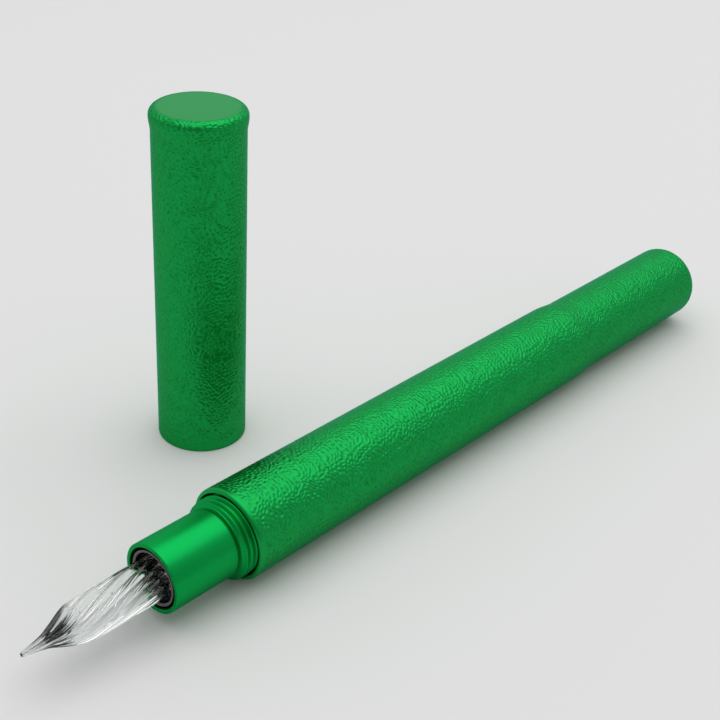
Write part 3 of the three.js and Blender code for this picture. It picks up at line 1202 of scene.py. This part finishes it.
@dataclass
class Section(Assembly):
    """The satin grip with its two threads, the plastic core inside it and its seal."""

    mouth: float = -12.0
    radius: float = 4.64
    bore: float = 4.08
    bore_chamfer: float = 0.06
    edge: float = 0.14
    edge_steps: int = 5
    groove: Profile = ((4.64, -2.42), (4.48, -2.32), (4.48, -2.14))
    cap_thread: Thread = Thread(start=-2.0, end=0.7, pitch=0.85, root=4.92, depth=0.5)
    barrel_thread: Thread = Thread(start=3.7, end=9.7, pitch=1.0, root=4.15, depth=0.35)
    flange_radius: float = 5.35
    flange_start: float = 1.2
    flange_end: float = 2.1
    flange_chamfer: float = 0.1
    end: float = 10.4
    end_taper: float = 0.15
    rear_bore: float = 3.5
    step: float = -1.0
    thread_cell: float = 0.06
    core_front: Profile = ((3.35, -8.0), (3.93, -8.0), (3.93, -1.3), (3.35, -1.3), (3.35, 11.2))
    core_nipple: Profile = ((1.35, 11.2), (1.35, 16.6), (1.15, 17.0), (0.7, 17.0), (0.7, 9.0))
    core_inside: Profile = ((2.85, 9.0), (2.85, -1.6), (3.35, -1.6))
    seal_radius: float = 4.8
    seal_place: float = 2.75
    seal_size: float = 0.45

    def grip_profile(self) -> Profile:
        """Draws the grip, finely stepped where its threads are.

        Returns:
            The grip's profile.
        """
        edge = self.edge
        return [
            (self.bore, self.mouth + self.bore_chamfer),
            (self.bore + self.bore_chamfer, self.mouth),
            *arc(self.radius - edge, self.mouth + edge, edge, -90, 0, self.edge_steps),
            *self.groove,
            *refined(self.cap_thread.root_profile(), self.thread_cell),
            (self.cap_thread.root, self.flange_start - self.flange_chamfer),
            (self.flange_radius, self.flange_start),
            (self.flange_radius, self.flange_end),
            (self.barrel_thread.root, self.flange_end),
            *refined(self.barrel_thread.root_profile(), self.thread_cell),
            (self.barrel_thread.root - self.end_taper, self.end),
            (self.rear_bore, self.end),
            (self.rear_bore, self.step),
            (self.bore, self.step),
        ]

    def cut_thread(self, grip: Object, thread: Thread) -> None:
        """Raises one thread's ridges on the turned grip.

        Args:
            grip: the grip.
            thread: the thread.
        """
        weights = []
        for vertex in grip.data.vertices:
            place, angle = self.axis.place_of(vertex.co), self.axis.angle_of(vertex.co)
            on_root = abs(self.axis.radius_of(vertex.co) - thread.root) < TOUCH_MM
            inside = thread.start <= place <= thread.end
            weights.append(thread.ridge(angle, place) if on_root and inside else 0.0)
        raise_surface(grip, weights, thread.depth)

    def build(self) -> None:
        """Builds the grip, the core and the seal."""
        grip = Turner(self.axis).turn("grip_tube", self.grip_profile(), Smoothness.VISIBLE, edge=0)
        self.cut_thread(grip, self.cap_thread)
        self.cut_thread(grip, self.barrel_thread)
        self.finish(grip, Body.SECTION, "section_grip", Slot.SATIN_GREEN)
        core = (*self.core_front, *self.core_nipple, *self.core_inside)
        self.make("grip_core", core, Body.SECTION, "section_core", Slot.BLACK_PLASTIC)
        # a whole circle in steps of 15 degrees, of which closing the profile makes the last
        seal = arc(self.seal_radius, self.seal_place, self.seal_size, -90, 255, 23)
        self.make("grip_seal", seal, Body.SECTION_SEAL, "section_o_ring", Slot.RUBBER, edge=0)


@dataclass
class GlassNib(Assembly):
    """The fluted glass: a star-shaped ring drawn forward, narrowed and turned step by step."""

    tip: float = -30.42
    body_end: float = -9.9
    neck: float = 3.2
    shoulder: float = 9.0
    tip_radius: float = 0.3
    tip_angles: tuple[float, ...] = (30, 55, 75)
    neck_radius: float = 0.9
    neck_curve: float = 1.42
    shoulder_curve: float = 1.15
    radius: float = 2.76
    shank: Profile = ((2.5, -9.75), (2.1, -9.6), (1.8, -9.45), (1.8, -3.4), (1.4, -3.0))
    flutes: int = 12
    points_per_flute: int = 8
    flute_depth: float = 0.26
    ridge_curve: float = 0.6
    lead: float = 60.0
    steps: int = 56
    crowding: float = 1.15
    smooth_degrees: float = 50

    def radius_at(self, from_tip: float) -> float:
        """Finds the radius of the glass.

        Args:
            from_tip: distance from its tip.

        Returns:
            The radius.
        """
        if from_tip <= self.neck:
            swell = (from_tip / self.neck) ** self.neck_curve
            return self.tip_radius + (self.neck_radius - self.tip_radius) * swell
        if from_tip <= self.shoulder:
            share = (from_tip - self.neck) / (self.shoulder - self.neck)
            swell = math.sin(math.pi / 2 * share) ** self.shoulder_curve
            return self.neck_radius + (self.radius - self.neck_radius) * swell
        return self.radius

    def flute_factor(self, step: int) -> float:
        """Share of the full radius at one of a flute's points: round ridges, sharp grooves."""
        ridge = math.sin(math.pi * step / self.points_per_flute) ** self.ridge_curve
        return 1 - self.flute_depth * (1 - ridge)

    def body_rings(self) -> Profile:
        """Lists the rings of the fluted body, crowded towards the tip.

        Returns:
            Radius and place of each, from the rear end forward.
        """
        length = self.body_end - self.tip - self.tip_radius
        shares = [(1 - step / self.steps) ** self.crowding for step in range(1, self.steps + 1)]
        from_tips = [self.tip_radius + length * share for share in shares]
        return [(self.radius_at(from_tip), self.tip + from_tip) for from_tip in from_tips]

    def tip_rings(self) -> Profile:
        """Lists the rings of the rounded tip.

        Returns:
            Radius and place of each, forward.
        """
        angles = [math.radians(degrees) for degrees in self.tip_angles]
        size = self.tip_radius
        return [(size * math.cos(angle), self.tip + size * (1 - math.sin(angle))) for angle in angles]

    def start_ring(self) -> Object:
        """Makes the star-shaped ring at the rear end of the fluted body.

        Returns:
            The ring, in edit mode and selected.
        """
        clear_selection()
        centre = self.axis.point(0, self.body_end)
        bpy.ops.mesh.primitive_circle_add(
            vertices=self.flutes * self.points_per_flute,
            radius=self.radius * MM,
            location=centre,
            rotation=(0, math.pi / 2, 0),
        )
        ring = bpy.context.object
        ring.name = "glass_nib_fluted"
        bpy.ops.object.transform_apply(location=True, rotation=True, scale=True)
        for step in range(self.points_per_flute):
            bpy.ops.object.mode_set(mode="EDIT")
            bpy.ops.mesh.select_all(action="DESELECT")
            bpy.ops.object.mode_set(mode="OBJECT")
            for index, vertex in enumerate(ring.data.vertices):
                vertex.select = index % self.points_per_flute == step
            bpy.ops.object.mode_set(mode="EDIT")
            size = (self.flute_factor(step),) * 3
            bpy.ops.transform.resize(value=size, center_override=centre)
            bpy.ops.object.mode_set(mode="OBJECT")
        bpy.ops.object.mode_set(mode="EDIT")
        bpy.ops.mesh.select_all(action="SELECT")
        return ring

    def draw_rings(self, rings: Profile, turn_per_mm: float = 0.0) -> None:
        """Extrudes the selected ring from place to place, and scales and turns it on its way.

        Args:
            rings: radius and place of each ring, the selected one first.
            turn_per_mm: its turn in radians, right-handed about along.
        """
        for (radius, place), (new_radius, new_place) in zip(rings, rings[1:]):
            centre = self.axis.point(0, new_place)
            shift = self.axis.along * ((new_place - place) * MM)
            bpy.ops.mesh.extrude_region_move(TRANSFORM_OT_translate={"value": shift})
            bpy.ops.transform.resize(value=(new_radius / radius,) * 3, center_override=centre)
            # with no window the operator turns the other way
            bpy.ops.transform.rotate(
                value=turn_per_mm * (new_place - place), orient_axis="X", orient_type="GLOBAL",
                center_override=centre,
            )

    def build(self) -> None:
        """Builds the nib: the fluted body and its tip, then the shank, from the same ring."""
        nib = self.start_ring()
        start = (self.radius, self.body_end)
        body = [start, *self.body_rings()]
        self.draw_rings(body, math.tau / self.lead)
        self.draw_rings([body[-1], *self.tip_rings()])
        bpy.ops.mesh.merge(type="CENTER")
        bpy.ops.mesh.select_all(action="SELECT")
        bpy.ops.mesh.select_non_manifold(extend=False)
        self.draw_rings([start, *self.shank])
        bpy.ops.mesh.edge_face_add()
        bpy.ops.mesh.select_all(action="SELECT")
        bpy.ops.mesh.normals_make_consistent(inside=False)
        bpy.ops.object.mode_set(mode="OBJECT")
        bpy.ops.object.shade_smooth_by_angle(angle=math.radians(self.smooth_degrees))
        self.finish(nib, Body.NIB, "glass_nib", Slot.GLASS)


@dataclass
class NibUnit(Assembly):
    """The nib with the holder, grommet, feed and ink tube behind it."""

    front: float = -11.85
    lip_bore: float = 3.3
    lip_chamfer: float = 0.12
    lip_radius: float = 3.7
    holder_outside: Profile = ((3.7, -9.0), (3.2, -9.0), (3.2, -2.0))
    holder_inside: Profile = ((2.45, -2.0), (2.45, -9.6), (3.3, -9.6))
    grommet: Profile = sleeve(1.92, 2.33, -9.3, -2.9)
    feed_front: Profile = ((0.62, -2.4), (2.3, -2.4), (2.3, -1.5))
    feed_rear: Profile = ((2.6, 2.7), (2.6, 5.2), (0.95, 5.2), (0.95, 7.4), (0.62, 7.4))
    fins: int = 3
    fin_start: float = -1.5
    fin_pitch: float = 1.4
    fin_width: float = 0.8
    fin_radius: float = 2.6
    fin_root: float = 2.0
    ink_tube: Profile = sleeve(0.28, 0.5, -2.7, 8.6)
    ink_tube_edge: float = 0.03

    def holder_profile(self) -> Profile:
        """Draws the holder, from its lip back.

        Returns:
            The holder's profile.
        """
        edge = (self.lip_bore, self.front + self.lip_chamfer)
        lip = ((self.lip_bore + self.lip_chamfer, self.front), (self.lip_radius, self.front))
        return (edge, *lip, *self.holder_outside, *self.holder_inside)

    def feed_profile(self) -> Profile:
        """Draws the feed, with its fins.

        Returns:
            The feed's profile.
        """
        fins = []
        for fin in range(self.fins):
            front = self.fin_start + self.fin_pitch * fin
            rear = front + self.fin_width
            fins += [(self.fin_radius, front), (self.fin_radius, rear)]
            fins += [(self.fin_root, rear), (self.fin_root, front + self.fin_pitch)]
        return [*self.feed_front, *fins, *self.feed_rear]

    def build(self) -> None:
        """Builds the pieces from the nib back."""
        GlassNib(self.axis, self.materials).build()
        self.make("nib_sleeve", self.grommet, Body.NIB_SEAL, "nib_grommet", Slot.SILICONE)
        # the holder's lip gets a painted highlight ring and its bore painted shade
        lip = SmokeLipPaintedLight(lip_place=self.axis.origin.x / MM + self.front)
        self.materials[Slot.SMOKE_PLASTIC] = lip.material()
        self.make(
            "nib_holder", self.holder_profile(), Body.NIB_UNIT, "nib_housing", Slot.SMOKE_PLASTIC,
            Smoothness.VISIBLE,
        )
        feed = self.feed_profile()
        self.make("feed_with_fins", feed, Body.NIB_UNIT, "ink_feed", Slot.BLACK_PLASTIC)
        self.make(
            "ink_tube", self.ink_tube, Body.NIB_UNIT, "capillary_tube", Slot.STEEL,
            Smoothness.SLENDER, edge=self.ink_tube_edge,
        )


@dataclass
class Converter(Assembly):
    """The screw converter, which takes the ink."""

    socket_outside: Profile = ((1.5, 11.6), (3.3, 11.6), (3.5, 11.9), (3.5, 17.7), (2.9, 17.7))
    socket_inside: Profile = ((2.9, 21.4), (0.8, 21.4), (0.8, 17.5), (1.5, 17.5))
    tube: Profile = sleeve(3.05, 3.6, 18.0, 52.0)
    collar_front: Profile = ((3.7, 46.5), (3.95, 46.5), (3.95, 49.0))
    collar_bead: Profile = ((3.88, 49.1), (3.88, 49.5), (3.95, 49.6))
    collar_rear: Profile = ((3.95, 57.3), (3.7, 57.3))
    guide_front: Profile = ((1.45, 48.0), (2.9, 48.0), (2.9, 52.3))
    guide_rear: Profile = ((3.45, 52.3), (3.45, 54.2), (1.45, 54.2))
    knob_neck: Profile = ((1.45, 54.6), (3.2, 54.6), (3.2, 57.6), (3.4, 57.6))
    knob_end: Profile = ((3.4, 81.3), (3.0, 81.5), (0.0, 81.5), (0.0, 80.6), (1.45, 80.6))
    grip_radius: float = 3.55
    grip_start: float = 58.0
    grip_end: float = 80.9
    grip_cell: float = 1.0
    flutes: int = 12
    flute_depth: float = 0.12
    flute_run_out: float = 0.8
    seal_front: Profile = ((0.0, 22.3), (2.5, 22.3), (2.92, 22.6), (2.92, 23.1))
    seal_rear: Profile = ((2.6, 23.4), (2.6, 24.3), (2.92, 24.6), (2.92, 25.15), (2.6, 25.3))
    seal_seat: Profile = ((0.9, 25.3), (0.9, 23.4), (0.0, 23.4))
    rod_front: Profile = ((0.0, 23.6), (0.75, 23.6), (0.75, 25.6), (1.9, 25.6), (1.9, 26.4))
    rod_rear: Profile = ((1.15, 26.4), (1.15, 59.7), (0.85, 60.0), (0.0, 60.0))

    def flute_weight(self, point: Vector) -> float:
        """Finds the depth of the knob's flutes.

        Args:
            point: a point on the knob, in metres.

        Returns:
            The depth, from 0 to 1.
        """
        if self.axis.radius_of(point) < self.grip_radius - TOUCH_MM:
            return 0.0
        place = self.axis.place_of(point)
        front = ease(place, self.grip_start, self.flute_run_out)
        rear = ease(self.grip_end - place, 0.0, self.flute_run_out)
        return front * rear * (0.5 + 0.5 * math.cos(self.flutes * self.axis.angle_of(point)))

    def build_knob(self) -> None:
        """Builds the turning knob, with a long fluted grip and a rounded end."""
        ends = ((self.grip_radius, self.grip_start), (self.grip_radius, self.grip_end))
        profile = [*self.knob_neck, *refined(ends, self.grip_cell), *self.knob_end]
        knob = Turner(self.axis).turn("converter_turning_knob", profile, Smoothness.HIDDEN)
        weights = [self.flute_weight(vertex.co) for vertex in knob.data.vertices]
        raise_surface(knob, weights, -self.flute_depth)
        self.finish(knob, Body.KNOB, "converter_knob", Slot.BLACK_PLASTIC)

    def build(self) -> None:
        """Builds the pieces from the socket back."""
        socket = (*self.socket_outside, *self.socket_inside)
        collar = (*self.collar_front, *self.collar_bead, *self.collar_rear)
        guide = (*self.guide_front, *self.guide_rear)
        seal = (*self.seal_front, *self.seal_rear, *self.seal_seat)
        rod = (*self.rod_front, *self.rod_rear)
        black = Slot.BLACK_PLASTIC
        for name, profile, node, slot in (
            ("converter_socket", socket, "converter_mouth", black),
            ("converter_clear_tube", self.tube, "converter_tube", Slot.CLEAR_PLASTIC),
            ("converter_metal_collar", collar, "converter_collar", Slot.STEEL),
            ("converter_rod_guide", guide, "converter_guide", black),
        ):
            self.make(name, profile, Body.CONVERTER, node, slot)
        self.build_knob()
        for name, profile, node, slot in (
            ("converter_piston", seal, "converter_piston_seal", Slot.RUBBER),
            ("converter_rod", rod, "converter_piston_rod", black),
        ):
            self.make(name, profile, Body.PISTON, node, slot, closed=False)


@dataclass
class PhotoCamera:
    """The camera, placed from the barrel's front edge, for a square picture."""

    axis: Axis
    lens: float = 66.45
    sensor: float = 36.0
    heading: float = 40.70
    pitch: float = 30.52
    roll: float = 3.41
    along: float = -88.97
    across: float = -96.58
    height: float = 109.45
    nearest: float = 5.0
    farthest: float = 20000.0

    def build(self) -> None:
        """Makes the camera and its view direction."""
        heading, pitch, roll = (math.radians(a) for a in (self.heading, self.pitch, self.roll))
        level = Vector((math.cos(heading), math.sin(heading), 0))
        right = Vector((level.y, -level.x, 0))
        ahead = level * math.cos(pitch) - Vector((0, 0, math.sin(pitch)))
        up = level * math.sin(pitch) + Vector((0, 0, math.cos(pitch)))
        rolled_right = right * math.cos(roll) + up * math.sin(roll)
        rolled_up = up * math.cos(roll) - right * math.sin(roll)
        mouth = Vector((self.axis.origin.x, self.axis.origin.y, 0))
        place = mouth + Vector((self.along, self.across, self.height)) * MM
        turn = Matrix((rolled_right, rolled_up, -ahead)).transposed()
        bpy.ops.object.camera_add(location=place, rotation=turn.to_euler())
        camera = bpy.context.object
        camera.name = "photo_camera"
        camera.data.lens = self.lens
        camera.data.sensor_width = self.sensor
        camera.data.clip_start = self.nearest * MM
        camera.data.clip_end = self.farthest * MM
        bpy.context.scene.camera = camera
        log.info("camera at %s", tuple(round(value, 4) for value in place))


@dataclass
class Studio:
    """The pale floor, the soft light from above and behind, and the pale room, in metres."""

    floor_size: float = 4.0
    room_colour: str = "f6f7f8"
    bright_side: tuple[float, float, float] = (0.70, 0.60, 0.38)
    dim_level: float = -0.9
    bright_room: float = 0.98
    dim_room: float = 0.30
    key_place: tuple[float, float, float] = (0.17, 0.0, 0.90)
    key_length: float = 1.7
    key_width: float = 1.1
    key_power: float = 5.6

    def floor(self) -> None:
        """Lays the floor of pale paper."""
        clear_selection()
        bpy.ops.mesh.primitive_plane_add(size=self.floor_size, location=(0, 0, 0))
        floor = bpy.context.object
        floor.name = "studio_floor"
        floor.data.materials.append(MattPaper().material())

    def room(self) -> None:
        """Fills the room with pale light: brighter beyond the pen, dimmer behind the camera."""
        world = bpy.data.worlds.new("pale_room")
        bpy.context.scene.world = world
        world.use_nodes = True
        tree = world.node_tree
        tree.nodes.clear()
        direction = add_node(tree, "TexCoord").outputs["Generated"]
        towards = add_node(
            tree, "VectorMath", {0: direction, 1: self.bright_side}, operation="DOT_PRODUCT"
        ).outputs["Value"]
        levels = {"From Min": self.dim_level, "To Min": self.dim_room, "To Max": self.bright_room}
        strength = add_node(tree, "MapRange", {"Value": towards, **levels}).outputs[0]
        colour = hex_colour(self.room_colour)
        lit = add_node(tree, "Background", {"Color": colour, "Strength": strength})
        add_node(tree, "OutputWorld", {"Surface": lit.outputs[0]})

    def softbox(self) -> None:
        """Hangs the long softbox over the pen; its length runs along the pen."""
        bpy.ops.object.light_add(type="AREA", location=self.key_place)
        light = bpy.context.object
        light.name = "key_softbox"
        light.data.shape = "RECTANGLE"
        light.data.size = self.key_length
        light.data.size_y = self.key_width
        light.data.energy = self.key_power

    def build(self) -> None:
        """Builds floor, room and lamp, and shows colours as they are."""
        bpy.context.scene.view_settings.view_transform = "Standard"
        self.floor()
        self.room()
        self.softbox()


def main() -> None:
    """Builds the camera, the finishes, each sub-assembly and the studio, in that order."""
    logging.basicConfig(level=logging.INFO, format="%(name)s: %(message)s")
    pen, cap = pen_axis(), cap_axis()
    PhotoCamera(pen).build()
    materials = make_materials()
    Barrel(pen, materials).build()
    Cap(cap, materials).build()
    Section(pen, materials).build()
    NibUnit(pen, materials).build()
    Converter(pen, materials).build()
    Studio().build()


if __name__ == "__main__":
    main()
